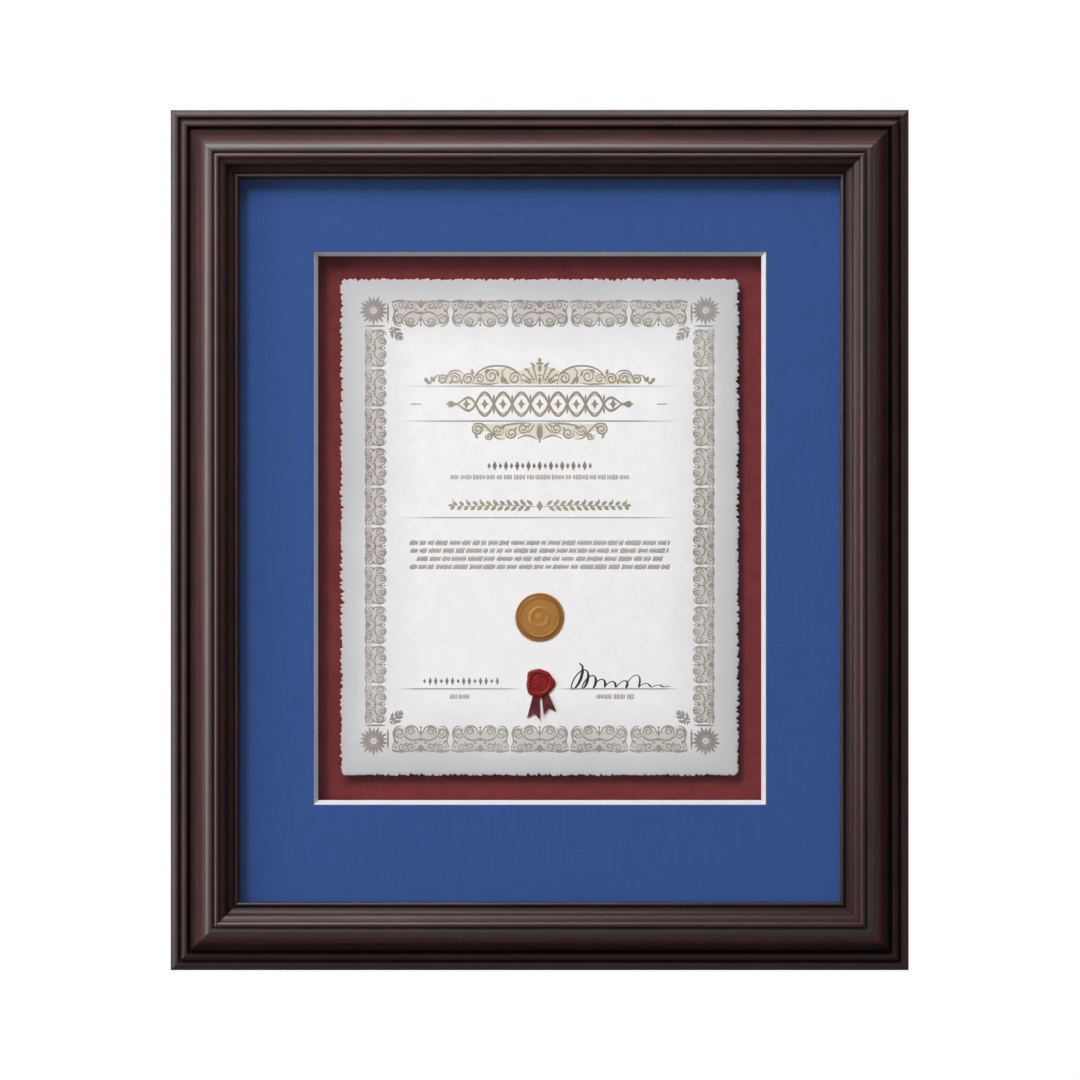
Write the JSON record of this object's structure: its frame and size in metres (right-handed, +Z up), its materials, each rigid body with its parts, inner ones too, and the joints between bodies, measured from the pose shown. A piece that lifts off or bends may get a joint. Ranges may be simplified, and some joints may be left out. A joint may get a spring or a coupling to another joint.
{
  "type": "certificate frame",
  "caption": "Wall-hung certificate frame: mitred stepped moulding, glass, blue window mat raised over a float-mounted sheet with foil and wax seals, back held by turn buttons.",
  "frame": {"origin": "apex of the sawtooth hanger's middle notch, where the wall nail bears, on the plane of the wall", "axes": "+Z up the frame, +Y into the wall, +X to the right of someone facing the frame"},
  "size_m": [0.374, 0.0304, 0.436],
  "materials": {
    "moulding_wood": "satin",
    "picture_glass": "gloss",
    "mat_linen": "matte",
    "mat_core": "matte",
    "foam_board": "matte",
    "burgundy_board": "matte",
    "hinge_paper": "matte",
    "certificate_paper": "matte",
    "gold_foil": "satin",
    "sealing_wax": "satin",
    "red_ribbon": "satin",
    "filler_card": "matte",
    "hardboard": "matte",
    "zinc_steel": "satin",
    "black_rubber": "matte"
  },
  "bodies": {
    "frame": {"rail_top": "moulding_wood", "rail_bottom": "moulding_wood", "rail_left": "moulding_wood", "rail_right": "moulding_wood", "corner_nails": "zinc_steel", "glass_pane": "picture_glass", "window_mat_facing": "mat_linen", "window_mat_core": "mat_core", "spacer_top": "foam_board", "spacer_bottom": "foam_board", "spacer_left": "foam_board", "spacer_right": "foam_board", "mount_board": "burgundy_board", "float_riser": "foam_board", "hinge_tapes": "hinge_paper", "certificate_sheet": "certificate_paper", "foil_seal": "gold_foil", "wax_seal": "sealing_wax", "seal_ribbon": "red_ribbon", "filler_board": "filler_card", "backing_panel": "hardboard", "button_screws": "zinc_steel", "sawtooth_hanger": "zinc_steel", "hanger_nails": "zinc_steel", "bumper_left": "black_rubber", "bumper_right": "black_rubber"},
    "button_top_left": {"button_top_left": "zinc_steel"},
    "button_top_right": {"button_top_right": "zinc_steel"},
    "button_bottom_left": {"button_bottom_left": "zinc_steel"},
    "button_bottom_right": {"button_bottom_right": "zinc_steel"},
    "button_left_upper": {"button_left_upper": "zinc_steel"},
    "button_left_lower": {"button_left_lower": "zinc_steel"},
    "button_right_upper": {"button_right_upper": "zinc_steel"},
    "button_right_lower": {"button_right_lower": "zinc_steel"}
  },
  "joints": [
    {"name": "turn_top_left", "type": "hinge", "parent": "frame", "child": "button_top_left", "pos_m": [-0.072, -0.0023, -0.002], "axis": [0, 1, 0], "continuous": true},
    {"name": "turn_top_right", "type": "hinge", "parent": "frame", "child": "button_top_right", "pos_m": [0.072, -0.0023, -0.002], "axis": [0, 1, 0], "continuous": true},
    {"name": "turn_bottom_left", "type": "hinge", "parent": "frame", "child": "button_bottom_left", "pos_m": [-0.072, -0.0023, -0.398], "axis": [0, 1, 0], "continuous": true},
    {"name": "turn_bottom_right", "type": "hinge", "parent": "frame", "child": "button_bottom_right", "pos_m": [0.072, -0.0023, -0.398], "axis": [0, 1, 0], "continuous": true},
    {"name": "turn_left_upper", "type": "hinge", "parent": "frame", "child": "button_left_upper", "pos_m": [-0.167, -0.0023, -0.097], "axis": [0, 1, 0], "continuous": true},
    {"name": "turn_left_lower", "type": "hinge", "parent": "frame", "child": "button_left_lower", "pos_m": [-0.167, -0.0023, -0.303], "axis": [0, 1, 0], "continuous": true},
    {"name": "turn_right_upper", "type": "hinge", "parent": "frame", "child": "button_right_upper", "pos_m": [0.167, -0.0023, -0.097], "axis": [0, 1, 0], "continuous": true},
    {"name": "turn_right_lower", "type": "hinge", "parent": "frame", "child": "button_right_lower", "pos_m": [0.167, -0.0023, -0.303], "axis": [0, 1, 0], "continuous": true}
  ]
}
